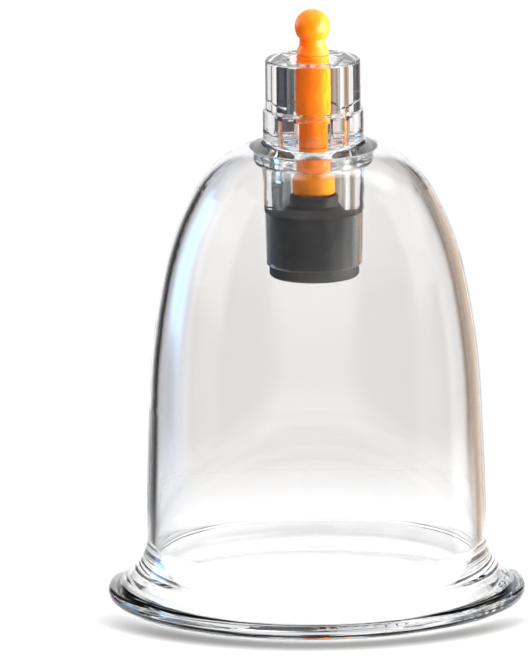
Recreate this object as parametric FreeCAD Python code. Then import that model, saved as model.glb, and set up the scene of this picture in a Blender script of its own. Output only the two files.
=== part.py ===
import FreeCAD, Part
import math
import os

# A clear rigid suction cup with a lift-to-release valve in its nozzle.
# Frame: millimetres, +Z up along the cup's own axis, origin at the centre of the rim's
# resting plane. Every outline below is a list of (radius, height) steps turned about Z.

# ---- cup: rim and bell -------------------------------------------------------------
RIM_R = 29.4             # outermost radius of the thick rim
RIM_BEAD_R = 1.0         # radius of the rim's round edge
RIM_ANGLE = math.radians(65.0)   # which way the rim's sloping top faces, from level
RIM_BLEND = 7.6          # hollow blend from the wall to the top of the rim
LEAD_IN_R = 3.6          # full round inside the rim, down to the ring it stands on

WALL_TOP = (23.36, 28.64)        # where the straight wall ends and the dome begins
WALL_DRAFT = 0.038               # lean of the outer wall, radians
CORE_DRAFT = 0.026               # lean of the inner wall, radians
DOME_WALL = 1.05                 # wall thickness over the dome
DOME_ARCS = ((103.5, 0.220), (39.6, 0.534), (13.42, 1.30))   # radius, end angle from level

# ---- cup: nozzle -------------------------------------------------------------------
NOZZLE_TOP = 77.0
NOZZLE_R = 6.70          # the pump's socket slips over this cylinder
NOZZLE_BASE_R = 7.10
NOZZLE_STEP_Z = 69.8     # where the nozzle grows from its base radius
NOZZLE_BASE_BLEND = 0.8
NOZZLE_EDGE = 0.35
NOZZLE_BORE_R = 3.70
BORE_EDGE = 0.25

# ---- cup: guide web, chamber and sleeve ---------------------------------------------
GUIDE_TOP = 68.6
GUIDE_BOTTOM = 64.6
GUIDE_HOLE_R = 2.60
WINDOWS = 8
WINDOW_WIDTH = 1.70
WINDOW_INNER_R = 3.05    # a slot right through the web starts here
WINDOW_MIDDLE_R = 3.60   # the slot ends here, and a pocket above it goes further out
WINDOW_OUTER_R = 4.10
POCKET_BOTTOM = 66.5
POCKET_TOP = 69.2
POCKET_CORNER = 0.55

BOSS_R = 8.35            # thick shoulder under the crown
BOSS_BOTTOM = 61.7
BOSS_ROUND = 1.15
BOSS_BLEND = 0.3
SLEEVE_TOP_R = 7.15
SLEEVE_END_R = 6.75
SLEEVE_END_Z = 47.6
SLEEVE_ROUND = 0.40
CHAMBER_R = 4.40
STEP_TOP_Z = 56.1        # the cone between the chamber and the seat's bore
STEP_BOTTOM_Z = 55.1
SEAT_BORE_R = 6.15
BORE_CHAMFER = 0.10

# ---- rubber seat ---------------------------------------------------------------------
SEAT_GAP = 0.02          # the rubber is drawn at its squeezed size, this far off the bore
SEAT_FLANGE_R = 6.30
SEAT_BOTTOM = 46.0
SEAT_EDGE = 0.50
COLLAR_R = 3.38
COLLAR_FOOT_Z = 56.55
COLLAR_TOP = 58.0
COLLAR_LIP = 0.20
SEAT_CONE_TOP_R = 2.75
SEAT_CONE_BOTTOM_R = 1.50
SEAT_CONE_BOTTOM_Z = 56.9
HOLLOW_R = 3.60          # hollow underside of the rubber
HOLLOW_TOP = 52.5

# ---- valve stem ------------------------------------------------------------------------
BALL_R = 2.49
BALL_Z = 81.56
BALL_FOOT_ANGLE = math.radians(-42.0)    # where the ball runs out into the neck's cone
NECK_R = 1.86
NECK_Z = 79.0
NECK_FOOT_R = 2.30
NECK_FOOT_Z = 77.9
GROOVES_Z = (77.6, 77.0)
GROOVE_R = 0.14
STEM_R = 2.46            # thick upper shaft, seen in the nozzle
STEM_TAPER_Z = (76.5, 76.1)
STEM_LOWER_R = 2.32      # thinner lower shaft, inside the guide
STEM_LOWER_Z = (69.7, 69.3)
HEAD_R = 2.95            # valve head, too wide for the guide hole
HEAD_TOP_Z = 61.2
HEAD_SHOULDER_Z = 60.3
HEAD_SEAT_GAP = 0.10     # between the head's cone and the rubber's cone when closed
HEAD_BOTTOM_R = 1.70

AXIS = FreeCAD.Vector(0, 0, 1)
ORIGIN = FreeCAD.Vector(0, 0, 0)


def polar(centre, radius, angle):
    """The point at an angle, from level, on a circle in the outline's plane."""
    return (centre[0] + radius * math.cos(angle), centre[1] + radius * math.sin(angle))


class Outline:
    """A closed outline of lines and arcs in the plane of the axis."""

    def __init__(self, start):
        self.start = start
        self.here = start
        self.edges = []

    @staticmethod
    def vector(point):
        return FreeCAD.Vector(point[0], 0, point[1])

    def line(self, *points):
        for point in points:
            self.edges.append(Part.LineSegment(self.vector(self.here), self.vector(point)).toShape())
            self.here = point

    def arc(self, centre, radius, begin, end):
        """An arc about a centre. A line joins it to the outline where there is a gap."""
        first = polar(centre, radius, begin)
        middle = polar(centre, radius, (begin + end) / 2)
        last = polar(centre, radius, end)
        if math.dist(first, self.here) > 1e-6:
            self.line(first)
        self.edges.append(Part.Arc(*map(self.vector, (self.here, middle, last))).toShape())
        self.here = last

    def revolve(self):
        if math.dist(self.here, self.start) > 1e-6:
            self.line(self.start)
        face = Part.Face(Part.Wire(self.edges))
        return face.revolve(ORIGIN, AXIS, 360)


def dome_centres():
    """Centres of the dome's tangent arcs, each starting where the one before ends."""
    point = WALL_TOP
    angle = WALL_DRAFT
    centres = []
    for radius, end_angle in DOME_ARCS:
        centre = polar(point, -radius, angle)
        centres.append(centre)
        point = polar(centre, radius, end_angle)
        angle = end_angle
    return centres


def reach(point, angle):
    """How far out a line through the point lies, along the line's own normal."""
    return point[0] * math.cos(angle) + point[1] * math.sin(angle)


def blend_centre(bead):
    """Centre of the hollow blend, which touches the outer wall and the rim's sloping top."""
    ca, sa = math.cos(WALL_DRAFT), math.sin(WALL_DRAFT)
    cb, sb = math.cos(RIM_ANGLE), math.sin(RIM_ANGLE)
    wall = reach(WALL_TOP, WALL_DRAFT) + RIM_BLEND
    rim = reach(bead, RIM_ANGLE) + RIM_BEAD_R + RIM_BLEND
    det = ca * sb - sa * cb
    return ((wall * sb - rim * sa) / det, (rim * ca - wall * cb) / det)


def draw_bell_outside(outline, bead, centres):
    """From the rim's land up over the bead, wall and dome to the nozzle's foot."""
    outline.arc(bead, RIM_BEAD_R, -math.pi / 2, RIM_ANGLE)
    hollow = blend_centre(bead)
    outline.arc(hollow, -RIM_BLEND, RIM_ANGLE, WALL_DRAFT)
    angle = WALL_DRAFT
    for centre, (radius, end_angle) in zip(centres[:-1], DOME_ARCS[:-1]):
        outline.arc(centre, radius, angle, end_angle)
        angle = end_angle
    crown_r = DOME_ARCS[-1][0]
    crown = centres[-1]
    foot_r = NOZZLE_BASE_R + NOZZLE_BASE_BLEND
    lean = math.acos((foot_r - crown[0]) / (crown_r + NOZZLE_BASE_BLEND))
    foot = polar(crown, crown_r + NOZZLE_BASE_BLEND, lean)
    outline.arc(crown, crown_r, angle, lean)
    outline.arc(foot, NOZZLE_BASE_BLEND, lean - math.pi, -math.pi)


def draw_nozzle(outline):
    """Up the nozzle, over its rim and down its bore to the guide web."""
    outline.line((NOZZLE_BASE_R, NOZZLE_STEP_Z))
    outline.line((NOZZLE_R, NOZZLE_STEP_Z + NOZZLE_BASE_R - NOZZLE_R))
    edge = (NOZZLE_R - NOZZLE_EDGE, NOZZLE_TOP - NOZZLE_EDGE)
    outline.arc(edge, NOZZLE_EDGE, 0, math.pi / 2)
    edge = (NOZZLE_BORE_R + BORE_EDGE, NOZZLE_TOP - BORE_EDGE)
    outline.arc(edge, BORE_EDGE, math.pi / 2, math.pi)
    outline.line((NOZZLE_BORE_R, GUIDE_TOP), (GUIDE_HOLE_R, GUIDE_TOP))


def draw_sleeve(outline, crown):
    """Down the guide hole, the chamber and the sleeve, and back up outside to the dome."""
    outline.line((GUIDE_HOLE_R, GUIDE_BOTTOM), (CHAMBER_R, GUIDE_BOTTOM))
    outline.line((CHAMBER_R, STEP_TOP_Z), (SEAT_BORE_R, STEP_BOTTOM_Z))
    outline.line((SEAT_BORE_R, SLEEVE_END_Z + BORE_CHAMFER))
    outline.line((SEAT_BORE_R + BORE_CHAMFER, SLEEVE_END_Z))
    end = (SLEEVE_END_R - SLEEVE_ROUND, SLEEVE_END_Z + SLEEVE_ROUND)
    outline.arc(end, SLEEVE_ROUND, -math.pi / 2, 0)
    outline.line((SLEEVE_TOP_R, BOSS_BOTTOM))
    shoulder = (BOSS_R - BOSS_ROUND, BOSS_BOTTOM + BOSS_ROUND)
    outline.arc(shoulder, BOSS_ROUND, -math.pi / 2, 0)
    inner_r = DOME_ARCS[-1][0] - DOME_WALL
    lean = math.acos((BOSS_R + BOSS_BLEND - crown[0]) / (inner_r - BOSS_BLEND))
    corner = polar(crown, inner_r - BOSS_BLEND, lean)
    outline.arc(corner, BOSS_BLEND, math.pi, lean)
    return lean


def draw_bell_inside(outline, centres, angle):
    """Down the inside of the dome and wall and round the rim's lead-in to its land."""
    starts = [CORE_DRAFT] + [end_angle for _, end_angle in DOME_ARCS[:-1]]
    for centre, (radius, _), start in reversed(list(zip(centres, DOME_ARCS, starts))):
        outline.arc(centre, radius - DOME_WALL, angle, start)
        angle = start
    across = reach(outline.here, CORE_DRAFT) + LEAD_IN_R * (1 - math.sin(CORE_DRAFT))
    lead_in = (across / math.cos(CORE_DRAFT), LEAD_IN_R)
    outline.arc(lead_in, -LEAD_IN_R, CORE_DRAFT, math.pi / 2)


def window_block(inner_r, outer_r, bottom, top):
    """A block across the X axis, as wide as a window."""
    corner = FreeCAD.Vector(inner_r, -WINDOW_WIDTH / 2, bottom)
    return Part.makeBox(outer_r - inner_r, WINDOW_WIDTH, top - bottom, corner)


def window_cutters():
    """Air windows round the guide hole: a slot through the web under a round-bottomed pocket."""
    slot = window_block(WINDOW_INNER_R, WINDOW_MIDDLE_R, GUIDE_BOTTOM - 1.0, POCKET_TOP)
    pocket = window_block(WINDOW_INNER_R, WINDOW_OUTER_R, POCKET_BOTTOM, POCKET_TOP)
    low_edges = [
        edge for edge in pocket.Edges
        if edge.BoundBox.ZMax < POCKET_BOTTOM + 1e-6 and edge.BoundBox.XLength > 0.1
    ]
    window = pocket.makeFillet(POCKET_CORNER, low_edges).fuse(slot)
    cutters = []
    for index in range(WINDOWS):
        cutter = window.copy()
        cutter.rotate(ORIGIN, AXIS, index * 360.0 / WINDOWS)
        cutters.append(cutter)
    return Part.makeCompound(cutters)


def make_cup_body():
    """Clear moulding: rim, bell, nozzle with its guide web, and the sleeve inside."""
    bead = (RIM_R - RIM_BEAD_R, RIM_BEAD_R)
    centres = dome_centres()
    outline = Outline((bead[0], 0.0))
    draw_bell_outside(outline, bead, centres)
    draw_nozzle(outline)
    angle = draw_sleeve(outline, centres[-1])
    draw_bell_inside(outline, centres, angle)
    return outline.revolve().cut(window_cutters())


def make_rubber_seat():
    """Hollow rubber plug with a conical mouth, squeezed into the sleeve from below."""
    body_r = SEAT_BORE_R - SEAT_GAP
    flange_top = SLEEVE_END_Z - SEAT_GAP
    slope = (STEP_TOP_Z - STEP_BOTTOM_Z) / (SEAT_BORE_R - CHAMBER_R)
    shoulder_z = COLLAR_FOOT_Z - slope * (body_r - COLLAR_R)
    outline = Outline((HOLLOW_R, SEAT_BOTTOM))
    edge = (SEAT_FLANGE_R - SEAT_EDGE, SEAT_BOTTOM + SEAT_EDGE)
    outline.arc(edge, SEAT_EDGE, -math.pi / 2, 0)
    outline.line((SEAT_FLANGE_R, flange_top), (body_r, flange_top), (body_r, shoulder_z))
    outline.line((COLLAR_R, COLLAR_FOOT_Z))
    lip = (COLLAR_R - COLLAR_LIP, COLLAR_TOP - COLLAR_LIP)
    outline.arc(lip, COLLAR_LIP, 0, math.pi / 2)
    outline.line((SEAT_CONE_TOP_R, COLLAR_TOP), (SEAT_CONE_BOTTOM_R, SEAT_CONE_BOTTOM_Z))
    outline.line((SEAT_CONE_BOTTOM_R, HOLLOW_TOP), (HOLLOW_R, HOLLOW_TOP))
    return outline.revolve()


def head_cone_z(radius):
    """Height of the valve head's cone, parallel to the rubber's cone."""
    rise = COLLAR_TOP - SEAT_CONE_BOTTOM_Z
    run = SEAT_CONE_TOP_R - SEAT_CONE_BOTTOM_R
    lift = HEAD_SEAT_GAP * math.hypot(rise, run) / run
    return SEAT_CONE_BOTTOM_Z + lift + (radius - SEAT_CONE_BOTTOM_R) * rise / run


def make_valve_stem():
    """Ball-ended stem. Its head closes the rubber's mouth and is held in by the guide."""
    bottom_z = head_cone_z(HEAD_BOTTOM_R)
    outline = Outline((0.0, bottom_z))
    outline.line((HEAD_BOTTOM_R, bottom_z), (HEAD_R, head_cone_z(HEAD_R)))
    outline.line((HEAD_R, HEAD_SHOULDER_Z), (STEM_LOWER_R, HEAD_TOP_Z))
    outline.line((STEM_LOWER_R, STEM_LOWER_Z[1]), (STEM_R, STEM_LOWER_Z[0]))
    outline.line((STEM_R, STEM_TAPER_Z[1]), (NECK_FOOT_R, STEM_TAPER_Z[0]))
    for groove_z in reversed(GROOVES_Z):
        outline.arc((NECK_FOOT_R, groove_z), GROOVE_R, -math.pi / 2, -math.pi * 3 / 2)
    outline.line((NECK_FOOT_R, NECK_FOOT_Z), (NECK_R, NECK_Z))
    outline.arc((0.0, BALL_Z), BALL_R, BALL_FOOT_ANGLE, math.pi / 2)
    return outline.revolve()


PARTS = {
    "cup_body": make_cup_body,
    "rubber_seat": make_rubber_seat,
    "valve_stem": make_valve_stem,
}

os.makedirs("parts", exist_ok=True)
for name, make in PARTS.items():
    shape = make()
    solid = shape.Solids[0]
    solid.exportStep(f"parts/{name}.step")
    box = solid.BoundBox
    print(name, "solids", len(shape.Solids), "valid", solid.isValid(), "volume", round(solid.Volume, 2))
    print("  radius", round(box.XMax, 3), "height", round(box.ZMin, 3), "to", round(box.ZMax, 3))
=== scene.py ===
# %% [markdown]
# # A clear suction cup with a lift-to-release valve
# The object is three mouldings. A glass-clear plastic cup carries a nozzle on its crown. A
# yellow-orange stem with a ball grip slides in that nozzle, and a dark rubber seat is pushed up
# into a sleeve under the crown. The CAD model holds their shape and place. This notebook gives
# them their finish, a small studio and a camera.

# %% Load the frame
import math

import bmesh
import bpy
from mathutils import Euler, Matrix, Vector


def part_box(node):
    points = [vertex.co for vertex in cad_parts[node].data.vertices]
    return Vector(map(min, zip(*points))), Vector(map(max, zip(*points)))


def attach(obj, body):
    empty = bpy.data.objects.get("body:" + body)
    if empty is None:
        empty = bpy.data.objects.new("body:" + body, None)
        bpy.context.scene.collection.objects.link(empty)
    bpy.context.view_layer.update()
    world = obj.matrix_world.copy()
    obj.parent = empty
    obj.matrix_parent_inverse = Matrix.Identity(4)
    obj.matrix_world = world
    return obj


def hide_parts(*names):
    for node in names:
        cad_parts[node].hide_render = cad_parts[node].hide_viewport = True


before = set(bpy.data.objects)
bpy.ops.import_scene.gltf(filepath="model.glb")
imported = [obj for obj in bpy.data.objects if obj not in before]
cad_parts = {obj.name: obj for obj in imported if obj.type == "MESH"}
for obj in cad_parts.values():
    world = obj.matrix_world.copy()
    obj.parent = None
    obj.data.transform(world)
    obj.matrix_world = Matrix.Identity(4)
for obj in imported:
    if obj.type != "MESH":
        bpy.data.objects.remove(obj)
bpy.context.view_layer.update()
mm = 0.001
DEG = math.pi / 180

# %% [markdown]
# ## Shader maths in plain Python
# A procedural finish is a sum of small fields: noise, bands, masks. Joining Math nodes by hand
# hides the formula. So one small class wraps a socket, and Python's own operators make the nodes.


# %% One wrapped socket
class Field:
    """A shader socket that can be used in a Python expression."""

    def __init__(self, tree, socket):
        self.tree = tree
        self.socket = socket

    def node(self, kind, settings=None, **sockets):
        """Any node in this field's tree."""
        return add_node(self.tree, kind, settings, **sockets)

    def maths(self, operation, *values):
        sockets = {f"at_{place}": value for place, value in enumerate(values)}
        return self.node("ShaderNodeMath", {"operation": operation}, **sockets)["Value"]

    def __add__(self, other):
        return self.maths("ADD", self, other)

    def __radd__(self, other):
        return self.maths("ADD", other, self)

    def __sub__(self, other):
        return self.maths("SUBTRACT", self, other)

    def __rsub__(self, other):
        return self.maths("SUBTRACT", other, self)

    def __mul__(self, other):
        return self.maths("MULTIPLY", self, other)

    def __rmul__(self, other):
        return self.maths("MULTIPLY", other, self)

    def __gt__(self, other):
        return self.maths("GREATER_THAN", self, other)

    def __abs__(self):
        return self.maths("ABSOLUTE", self)

    def band(self, low, high, start=0.0, end=1.0):
        """Runs smoothly from start to end as the field goes from low to high."""
        made = self.node(
            "ShaderNodeMapRange", {"interpolation_type": "SMOOTHSTEP"}, Value=self,
            From_Min=low, From_Max=high, To_Min=start, To_Max=end,
        )
        return made["Result"]


def add_node(tree, kind, settings=None, **sockets):
    """Make a node: its type, its settings, then a value or a field for each socket.

    A socket goes by its name with underscores for spaces, or by place as at_0, at_1.
    The node's outputs come back by name.
    """
    made = tree.nodes.new(kind)
    for setting, value in (settings or {}).items():
        setattr(made, setting, value)
    for name, value in sockets.items():
        key = int(name[3:]) if name.startswith("at_") else name.replace("_", " ")
        if isinstance(value, Field):
            tree.links.new(value.socket, made.inputs[key])
        else:
            made.inputs[key].default_value = value
    return {output.name: Field(tree, output) for output in made.outputs if output.enabled}


# %% [markdown]
# Colours and shaders have their own kinds of sum, so each gets a short helper that reads like a
# sentence: one colour blended into another, two lights added, one shader layered over another.


# %% Colours and shaders
def blended(amount, first, second):
    """A colour that is first where amount is 0 and second where it is 1."""
    made = amount.node(
        "ShaderNodeMix", {"data_type": "RGBA"}, at_0=amount, at_6=first, at_7=second
    )
    return made["Result"]


def summed(first, second):
    """Two colours added."""
    made = first.node("ShaderNodeVectorMath", {"operation": "ADD"}, at_0=first, at_1=second)
    return made["Vector"]


def layered(amount, first, second):
    """The first shader where amount is 0 and the second where it is 1."""
    return amount.node("ShaderNodeMixShader", at_0=amount, at_1=first, at_2=second)["Shader"]


def new_finish(name):
    """An empty material and its node tree."""
    made = bpy.data.materials.new(name)
    made.use_nodes = True
    made.node_tree.nodes.clear()
    return made, made.node_tree


def speckle(tree, scale, detail):
    """Noise that sits still on the part, about one feature in each 1/scale metres."""
    spot = add_node(tree, "ShaderNodeTexCoord")["Object"]
    return add_node(tree, "ShaderNodeTexNoise", Vector=spot, Scale=scale, Detail=detail)["Fac"]


# %% [markdown]
# ## The camera
# A long lens from far away keeps the bell's sides almost parallel, as a product camera does. It
# looks down a little, so that the rim opens into an ellipse. The cup stands right of the middle
# of the frame, so the camera aims at a point left of the cup's axis.

# %% Camera
LOOK_DOWN = 12.2 * DEG
ROLL = -0.5 * DEG
DISTANCE = 3.0
FRAME_HEIGHT = 92.5 * mm
AIM_LEFT = 6.86 * mm
AIM_UP = 37.5 * mm

back = Vector((0, -math.cos(LOOK_DOWN), math.sin(LOOK_DOWN)))
upward = Vector((0, math.sin(LOOK_DOWN), math.cos(LOOK_DOWN)))
lens = bpy.data.cameras.new("product_lens")
lens.lens = lens.sensor_width * DISTANCE / FRAME_HEIGHT
lens.clip_start = 0.05
lens.clip_end = 20.0
camera = bpy.data.objects.new("product_camera", lens)
bpy.context.scene.collection.objects.link(camera)
camera.location = back * DISTANCE + upward * AIM_UP + Vector((-AIM_LEFT, 0, 0))
camera.rotation_mode = "QUATERNION"
camera.rotation_quaternion = back.to_track_quat("Z", "Y") @ Euler((0, 0, ROLL)).to_quaternion()
bpy.context.scene.camera = camera
print(f"lens {lens.lens:.0f} mm at {DISTANCE} m")

# %% [markdown]
# ## Light that bends many times
# A ray that meets a clear moulding enters, bounces inside by total reflection and leaves again.
# The thick nozzle needs a dozen such steps before the light gets out, and a ray that runs out of
# steps turns black. So the bounce limits are raised. The plain view transform keeps white white.

# %% Bounces and view
scene = bpy.context.scene
scene.view_settings.view_transform = "Standard"
cycles = scene.cycles
cycles.max_bounces = 24
cycles.transmission_bounces = 24
cycles.glossy_bounces = 16
cycles.transparent_max_bounces = 16
cycles.sample_clamp_indirect = 6.0
cycles.blur_glossy = 0.3
print("bounces", cycles.max_bounces, "of them through plastic", cycles.transmission_bounces)

# %% [markdown]
# ## The studio
# Clear plastic has no colour of its own: it shows what is around it. Lamps would show up in it as
# small hard shapes, so the room is painted on the world as soft panels, each a patch of
# directions. First come the directions themselves, and a helper that turns a patch into a mask.

# %% Directions
world = bpy.data.worlds.new("studio")
world.use_nodes = True
room = world.node_tree
room.nodes.clear()
direction = add_node(room, "ShaderNodeTexCoord")["Generated"]
axes = add_node(room, "ShaderNodeSeparateXYZ", Vector=direction)
east, north, height = axes["X"], axes["Y"], axes["Z"]
altitude = height.maths("ARCSINE", height)


def panel(bearing, width, low, high, soft):
    """A mask for a patch of directions, all in degrees.

    Its bearing is counted from straight behind the cup, to the right. It is cut off at a low and
    a high altitude, and every side of it fades over the soft width.
    """
    turn = bearing * DEG
    ahead = east * math.sin(turn) + north * math.cos(turn)
    aside = east * math.cos(turn) - north * math.sin(turn)
    off = abs(aside.maths("ARCTAN2", aside, ahead))
    across = off.band((width - soft) / 2 * DEG, (width + soft) / 2 * DEG, 1.0, 0.0)
    over = altitude.band((low - soft / 2) * DEG, (low + soft / 2) * DEG)
    under = altitude.band((high - soft / 2) * DEG, (high + soft / 2) * DEG, 1.0, 0.0)
    return across * over * under


def tint(mask, colour, strength):
    """A mask turned into coloured light."""
    light = [channel * strength for channel in colour]
    made = mask.node("ShaderNodeVectorMath", {"operation": "SCALE"}, Vector=light, Scale=mask)
    return made["Vector"]


# %% [markdown]
# The panels are what the plastic mirrors and bends. A white sweep stands straight behind the cup.
# Where it ends, the wall of the bell turns dark: that gap draws the fine line down the left side.
# A warm card and a brown one on the right draw the beige line there. A cool window lights the
# left shoulder, and a small box high up puts the white spot on the crown. The ring under the
# nozzle looks steeply down, so it sees the pale table.

# %% Panels the plastic shows
WHITE = (1.0, 1.0, 1.0)
SUNNY = (1.0, 0.95, 0.88)
COOL = (0.36, 0.66, 1.0)
WARM = (1.0, 0.75, 0.55)
BROWN = (1.0, 0.66, 0.42)
DIM = (0.035, 0.036, 0.042)
panels = {
    # name: (bearing, width, low, high, soft, colour, strength)
    "sweep": (1, 37, -70, 60, 6, WHITE, 0.95),
    "warm card": (25, 14, -70, 4, 6, WARM, 0.62),
    "brown card": (42, 20, -70, 4, 8, BROWN, 0.28),
    "white card": (60, 20, -70, 4, 8, WHITE, 0.90),
    "cool window": (-55, 20, -5, 20, 5, COOL, 2.8),
    "cool wall": (-64, 44, -50, -6, 14, COOL, 0.03),
    "crown box": (40, 26, 56, 82, 10, WHITE, 4.0),
    "crown glow": (60, 30, 40, 58, 18, WHITE, 1.6),
    "top left box": (-50, 40, 62, 82, 10, WHITE, 2.0),
    "right flank": (74, 44, 4, 46, 8, WHITE, 0.8),
    "left flank": (-88, 40, 4, 46, 8, WHITE, 0.8),
    "sunny side": (84, 40, -40, 20, 16, SUNNY, 0.45),
    "table": (180, 300, -80, -30, 10, WHITE, 0.75),
}
room_light = tint(panel(*panels["sweep"][:5]), *panels["sweep"][5:])
for name, row in panels.items():
    if name != "sweep":
        room_light = summed(room_light, tint(panel(*row[:5]), *row[5:]))
room_light = summed(room_light, DIM)
print("panels", len(panels))

# %% [markdown]
# Dull surfaces need more light than glossy ones: the same strong light would burn out in the
# plastic. The Light Path node tells which kind of surface asks, so the stem, the rubber and the
# floor get three big soft lights that the plastic never mirrors.

# %% Soft lights for the dull parts
ONCE = 0.5
path = add_node(room, "ShaderNodeLightPath")
mirrored = path["Is Glossy Ray"] * (1 - (path["Diffuse Depth"] > ONCE))
asked_by_dull = (1 - path["Is Camera Ray"]) * (1 - mirrored)
KEY_WHITE = (1.0, 0.97, 0.92)
soft_lights = {
    # name: (bearing, width, low, high, soft, colour, strength)
    "ceiling": (0, 360, 30, 91, 20, WHITE, 1.0),
    "key": (108, 72, -25, 25, 16, KEY_WHITE, 11.5),
    "back": (0, 120, -10, 35, 16, WHITE, 2.5),
}
for bearing, width, low, high, soft, colour, strength in soft_lights.values():
    lit = panel(bearing, width, low, high, soft) * asked_by_dull
    room_light = summed(room_light, tint(lit, colour, strength))
print("soft lights", list(soft_lights))

# %% [markdown]
# The camera itself sees plain white, and a ray that has gone through both walls of the bell sees
# almost the same, so the cup stands before a pale sweep. No real studio can do that: it is a set
# colour for one kind of ray. Near the edge of the bell that ray is bent aside: there the sweep
# runs into a cool tone on the left, a brown one on the right, and black flags further round. The
# wide flags end 18 degrees below level, so that they aren't behind the cup when it is looked down
# on steeply from another side.

# %% Who sees what
SWEEP = (1.03, 1.03, 1.03, 1)
THROUGH = (0.93, 0.90, 0.88, 1)
THROUGH_COOL = (0.84, 0.88, 0.99, 1)
THROUGH_BROWN = (0.42, 0.29, 0.19, 1)
BOTH_WALLS = 2.5
FLAG_SOFT = 5
FLAG_DEPTH = 0.95
COOL_EDGE = (-17, 24, -60, 70, 4)
BROWN_EDGE = (20, 20, -60, 70, 4)
dark_flags = [(-46, 62, -18, 2), (-29, 28, 2, 44), (54, 60, -18, 2), (30, 28, 2, 44)]

bounced = path["Glossy Depth"] + path["Diffuse Depth"]
straight = (path["Transmission Depth"] > BOTH_WALLS) * (1 - (bounced > ONCE))
for flag in dark_flags:
    straight = straight * (1 - panel(*flag, FLAG_SOFT) * FLAG_DEPTH)
sweep = blended(panel(*COOL_EDGE), THROUGH, THROUGH_COOL)
sweep = blended(panel(*BROWN_EDGE), sweep, THROUGH_BROWN)
seen = blended(straight, room_light, sweep)
seen = blended(path["Is Camera Ray"], seen, SWEEP)
light = add_node(room, "ShaderNodeBackground", Color=seen, Strength=1.0)["Background"]
add_node(room, "ShaderNodeOutputWorld", Surface=light)
scene.world = world
print("world nodes", len(room.nodes))

# %% [markdown]
# ## The floor
# A plain pale sheet lies under the cup. The clear rim lets most light through and throws hardly
# any shadow of its own, so a soft grey band is painted into the paper's colour in front of it, by
# the distance from the cup's axis. The sheet fades out before it gets far: seen through the bent
# wall of the bell, a wide bright floor would wash out the fine lines of the edges.


# %% Floor
def disc(name, radius, rings, spokes, z):
    """A flat round sheet of quads and one ring of triangles."""
    sheet = bmesh.new()
    turns = [2 * math.pi * k / spokes for k in range(spokes)]
    loops = []
    for ring in range(1, rings + 1):
        r = radius * ring / rings
        loops.append([sheet.verts.new((r * math.cos(t), r * math.sin(t), z)) for t in turns])
    middle = sheet.verts.new((0, 0, z))
    for k in range(spokes):
        sheet.faces.new((middle, loops[0][k], loops[0][(k + 1) % spokes]))
    for inner, outer in zip(loops, loops[1:]):
        for k in range(spokes):
            n = (k + 1) % spokes
            sheet.faces.new((inner[k], outer[k], outer[n], inner[n]))
    mesh = bpy.data.meshes.new(name)
    sheet.to_mesh(mesh)
    sheet.free()
    made = bpy.data.objects.new(name, mesh)
    bpy.context.scene.collection.objects.link(made)
    return made


FLOOR_R = 100 * mm
FLOOR_RINGS = 10
FLOOR_SPOKES = 96
FLOOR_Z = -0.02 * mm
floor = disc("floor", FLOOR_R, FLOOR_RINGS, FLOOR_SPOKES, FLOOR_Z)
print("floor faces", len(floor.data.polygons))

# %% Pale paper
PAPER = (0.93, 0.93, 0.93, 1)
BLACK = (0.0, 0.0, 0.0, 1)
SHADOW_DEPTH = 0.72
SHADOW_STARTS = (27.5 * mm, 31.2 * mm)
SHADOW_ENDS = (32.2 * mm, 38.2 * mm)
SHADOW_FRONT = (-26 * mm, -4 * mm)
FADE_AWAY = (42 * mm, 95 * mm)
FADE_ASIDE = (29 * mm, 45 * mm)
paper, tree = new_finish("pale_paper")
spot = add_node(tree, "ShaderNodeTexCoord")["Object"]
away = add_node(tree, "ShaderNodeVectorMath", {"operation": "LENGTH"}, Vector=spot)["Value"]
where = add_node(tree, "ShaderNodeSeparateXYZ", Vector=spot)
shadow = away.band(*SHADOW_STARTS) * away.band(*SHADOW_ENDS, 1.0, 0.0)
shadow = shadow * where["Y"].band(*SHADOW_FRONT, 1.0, 0.0)
shade = blended(shadow * SHADOW_DEPTH, PAPER, BLACK)
matte = add_node(
    tree, "ShaderNodeBsdfPrincipled", Base_Color=shade, Roughness=1.0, Specular_IOR_Level=0.0
)["BSDF"]
gone = add_node(tree, "ShaderNodeBsdfTransparent")["BSDF"]
runner = away.band(*FADE_AWAY, 1.0, 0.0) * abs(where["X"]).band(*FADE_ASIDE, 1.0, 0.0)
add_node(tree, "ShaderNodeOutputMaterial", Surface=layered(runner, gone, matte))
floor.data.materials.append(paper)
print("paper nodes", len(tree.nodes))

# %% [markdown]
# ## Clear plastic
# The cup is injection moulded from a glass-clear plastic, much like polycarbonate, which bends
# light a little more than window glass. A perfect surface would look computed. Real mouldings
# have long shallow waves from the steel mould and faint dull patches from handling, so a slow
# noise drives a slight bump and a finer one gives a touch of haze.

# %% Clear plastic
FAINT_GREY = (0.985, 0.988, 0.99, 1)
clear, tree = new_finish("clear_plastic")
mould_waves = speckle(tree, scale=55.0, detail=2.0)
handling_haze = speckle(tree, scale=420.0, detail=3.0)
haze = handling_haze.band(0.55, 0.85, start=0.0, end=0.03)
bump = add_node(
    tree, "ShaderNodeBump", Height=mould_waves, Strength=0.05, Distance=0.2 * mm
)["Normal"]
shader = add_node(
    tree, "ShaderNodeBsdfPrincipled",
    Base_Color=FAINT_GREY, Roughness=haze, IOR=1.57, Transmission_Weight=1.0, Normal=bump,
)["BSDF"]
add_node(tree, "ShaderNodeOutputMaterial", Surface=shader)
print("clear plastic nodes", len(tree.nodes))

# %% [markdown]
# ## Yellow-orange plastic
# The stem is a soft, slightly milky nylon. Light from the right goes into it, and only its red
# part travels far enough to come out on the left. That is why it runs from yellow on the lit side
# to deep orange in the shade. Painting such a ramp would look wrong from every other side, so
# subsurface scattering with a long red path does it. A fine grain breaks up the highlights.

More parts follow.
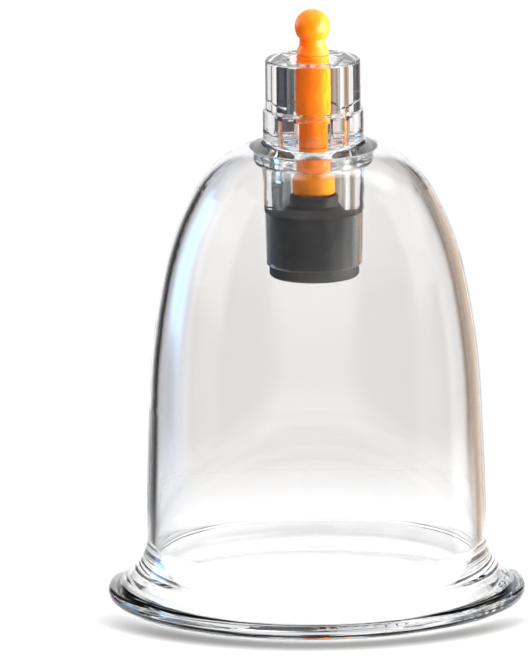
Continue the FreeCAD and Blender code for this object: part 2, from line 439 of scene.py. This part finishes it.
# %% Yellow-orange plastic
ORANGE = (0.93, 0.27, 0.002, 1)
PALER_ORANGE = (0.95, 0.33, 0.003, 1)
RED_GOES_FAR = (1.0, 0.16, 0.02)
yellow, tree = new_finish("yellow_plastic")
mottle = speckle(tree, scale=260.0, detail=4.0)
grain = speckle(tree, scale=3200.0, detail=3.0)
colour = blended(mottle.band(0.3, 0.7), ORANGE, PALER_ORANGE)
bump = add_node(tree, "ShaderNodeBump", Height=grain, Strength=0.25, Distance=0.02 * mm)["Normal"]
shader = add_node(
    tree, "ShaderNodeBsdfPrincipled",
    Base_Color=colour, Roughness=mottle.band(0.2, 0.8, start=0.26, end=0.36), IOR=1.49,
    Subsurface_Weight=1.0, Subsurface_Radius=RED_GOES_FAR, Subsurface_Scale=4.0 * mm,
    Normal=bump,
)["BSDF"]
add_node(tree, "ShaderNodeOutputMaterial", Surface=shader)
print("yellow plastic nodes", len(tree.nodes))

# %% [markdown]
# ## Grey rubber
# The seat is dark, matte rubber with the faint pale bloom that rubber gets in store. Cloudy noise
# mixes two greys for the bloom and makes the surface duller there, and tiny pores roughen it.

# %% Grey rubber
BARE_RUBBER = (0.048, 0.048, 0.050, 1)
BLOOMED_RUBBER = (0.082, 0.080, 0.077, 1)
rubber, tree = new_finish("grey_rubber")
bloom = speckle(tree, scale=330.0, detail=5.0)
pores = speckle(tree, scale=4200.0, detail=4.0)
colour = blended(bloom.band(0.3, 0.75), BARE_RUBBER, BLOOMED_RUBBER)
bump = add_node(tree, "ShaderNodeBump", Height=pores, Strength=0.5, Distance=0.03 * mm)["Normal"]
shader = add_node(
    tree, "ShaderNodeBsdfPrincipled",
    Base_Color=colour, Roughness=bloom.band(0.2, 0.8, start=0.5, end=0.66), IOR=1.5,
    Specular_IOR_Level=0.22, Normal=bump,
)["BSDF"]
add_node(tree, "ShaderNodeOutputMaterial", Surface=shader)
print("rubber nodes", len(tree.nodes))

# %% [markdown]
# ## The rubber seat, turned again
# The real rubber is soft. It is pushed up until its cone lies flat on the plastic, and then no
# air is left there to mirror the light. The CAD seat keeps a small gap for its fit. So the seat
# is turned here once more as a lathe mesh, with its cone raised until it meets the plastic and
# with small rounds on its lips. Turning suits it: every section through the axis is the same.


# %% Lathe
def lathe(name, profile, spokes, sharp_from):
    """Turn a closed outline of (radius, height) steps, in millimetres, about the axis."""
    turned = bmesh.new()
    turns = [2 * math.pi * k / spokes for k in range(spokes)]
    loops = [
        [turned.verts.new((r * mm * math.cos(t), r * mm * math.sin(t), z * mm)) for t in turns]
        for r, z in profile
    ]
    for here, after in zip(loops, loops[1:] + loops[:1]):
        for k in range(spokes):
            n = (k + 1) % spokes
            turned.faces.new((here[k], here[n], after[n], after[k]))
    bmesh.ops.recalc_face_normals(turned, faces=turned.faces)
    mesh = bpy.data.meshes.new(name)
    turned.to_mesh(mesh)
    turned.free()
    mesh.polygons.foreach_set("use_smooth", [True] * len(mesh.polygons))
    mesh.set_sharp_from_angle(angle=sharp_from)
    made = bpy.data.objects.new(name, mesh)
    bpy.context.scene.collection.objects.link(made)
    return made


def rounded(centre, radius, begin, end, steps):
    """Steps of an arc, with its angles in degrees from level."""
    turns = [(begin + (end - begin) * k / steps) * DEG for k in range(steps + 1)]
    return [(centre[0] + radius * math.cos(t), centre[1] + radius * math.sin(t)) for t in turns]


# %% Rubber seat
FOOT_Z = 46.0
LIP_R = 6.30
LIP_TOP = 47.58
BODY_R = 6.13
BODY_FOOT = 47.60
CONE_FOOT = 54.979
CONE_HEAD = 55.996
CONE_HEAD_R = 4.35
CONE_RAISE = 0.16
SPOUT_R = 3.38
SPOUT_FOOT = 56.47
SPOUT_TOP = 58.0
MOUTH_R = 2.80
MOUTH_FOOT = 56.90
BORE_R = 1.50
HOLLOW_R = 3.60
HOLLOW_ROOF = 52.50
FOOT_ROUND, LIP_ROUND, SPOUT_FILLET, SPOUT_ROUND = 0.50, 0.08, 0.18, 0.20
MOUTH_ROUND, HOLLOW_ROUND = 0.10, 0.15
MOUTH_TURN = 138
SEAT_SPOKES = 192
SEAT_SHARP = 32 * DEG

seat_outline = [(HOLLOW_R, FOOT_Z)]
seat_outline += rounded((LIP_R - FOOT_ROUND, FOOT_Z + FOOT_ROUND), FOOT_ROUND, -90, 0, 6)
seat_outline += rounded((LIP_R - LIP_ROUND, LIP_TOP - LIP_ROUND), LIP_ROUND, 0, 90, 3)
seat_outline += [(BODY_R, BODY_FOOT), (BODY_R, CONE_FOOT + CONE_RAISE)]
seat_outline += [(CONE_HEAD_R, CONE_HEAD + CONE_RAISE), (SPOUT_R + SPOUT_FILLET, SPOUT_FOOT)]
fillet_centre = (SPOUT_R + SPOUT_FILLET, SPOUT_FOOT + SPOUT_FILLET)
seat_outline += rounded(fillet_centre, SPOUT_FILLET, -90, -180, 3)
seat_outline += rounded((SPOUT_R - SPOUT_ROUND, SPOUT_TOP - SPOUT_ROUND), SPOUT_ROUND, 0, 90, 4)
seat_outline += rounded((MOUTH_R, SPOUT_TOP - MOUTH_ROUND), MOUTH_ROUND, 90, MOUTH_TURN, 2)
seat_outline += [(BORE_R, MOUTH_FOOT), (BORE_R, HOLLOW_ROOF)]
seat_outline += [(HOLLOW_R - HOLLOW_ROUND, HOLLOW_ROOF)]
roof_centre = (HOLLOW_R - HOLLOW_ROUND, HOLLOW_ROOF - HOLLOW_ROUND)
seat_outline += rounded(roof_centre, HOLLOW_ROUND, 90, 0, 3)
seat = lathe("rubber_seat_turned", seat_outline, SEAT_SPOKES, SEAT_SHARP)
seat.data.materials.append(rubber)
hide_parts("rubber_seat")
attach(seat, "cup")
print("seat", len(seat.data.polygons), "faces", [round(v / mm, 2) for v in seat.dimensions])

# %% [markdown]
# ## The moulded parts
# The cup and the stem are hard mouldings, and their CAD solids already have every round and
# groove. They stay as they are and only take their finish.

# %% Finishes onto the parts
FINISHES = {"cup_body": clear, "valve_stem": yellow}
for node, finish in FINISHES.items():
    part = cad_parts[node]
    part.data.materials.clear()
    part.data.materials.append(finish)
    low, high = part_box(node)
    print(node, "in", finish.name, "from", round(low[2] / mm, 2), "to", round(high[2] / mm, 2))
